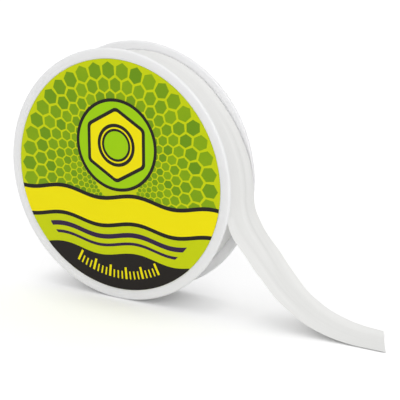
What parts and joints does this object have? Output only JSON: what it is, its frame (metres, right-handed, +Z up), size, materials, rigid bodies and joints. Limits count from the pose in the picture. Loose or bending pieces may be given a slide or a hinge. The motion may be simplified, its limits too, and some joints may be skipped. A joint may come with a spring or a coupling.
{
  "type": "thread seal tape roll",
  "caption": "Roll of white thread seal tape on a snap-together flanged spool with a printed label disc and a loose free end that lies on the surface.",
  "frame": {"origin": "on the spool's axis, halfway between the flanges, inside the hub's bore", "axes": "+Z up, +Y along the spool's axis from the label to the back, +X to the side on which the tape leaves the roll"},
  "size_m": [0.1246, 0.0154, 0.076],
  "materials": {
    "spool": "satin",
    "label": "printed film",
    "tape": "soft film"
  },
  "bodies": {
    "lead": {"tape_outer_turn": "tape", "tape_tail": "tape"},
    "spool": {"spool_body": "spool", "spool_cap": "spool", "front_label": "label", "tape_pack": "tape"}
  },
  "joints": [
    {"name": "spool_spin", "type": "hinge", "parent": "lead", "child": "spool", "pos_m": [0, 0, 0], "axis": [0, 1, 0], "continuous": true}
  ]
}
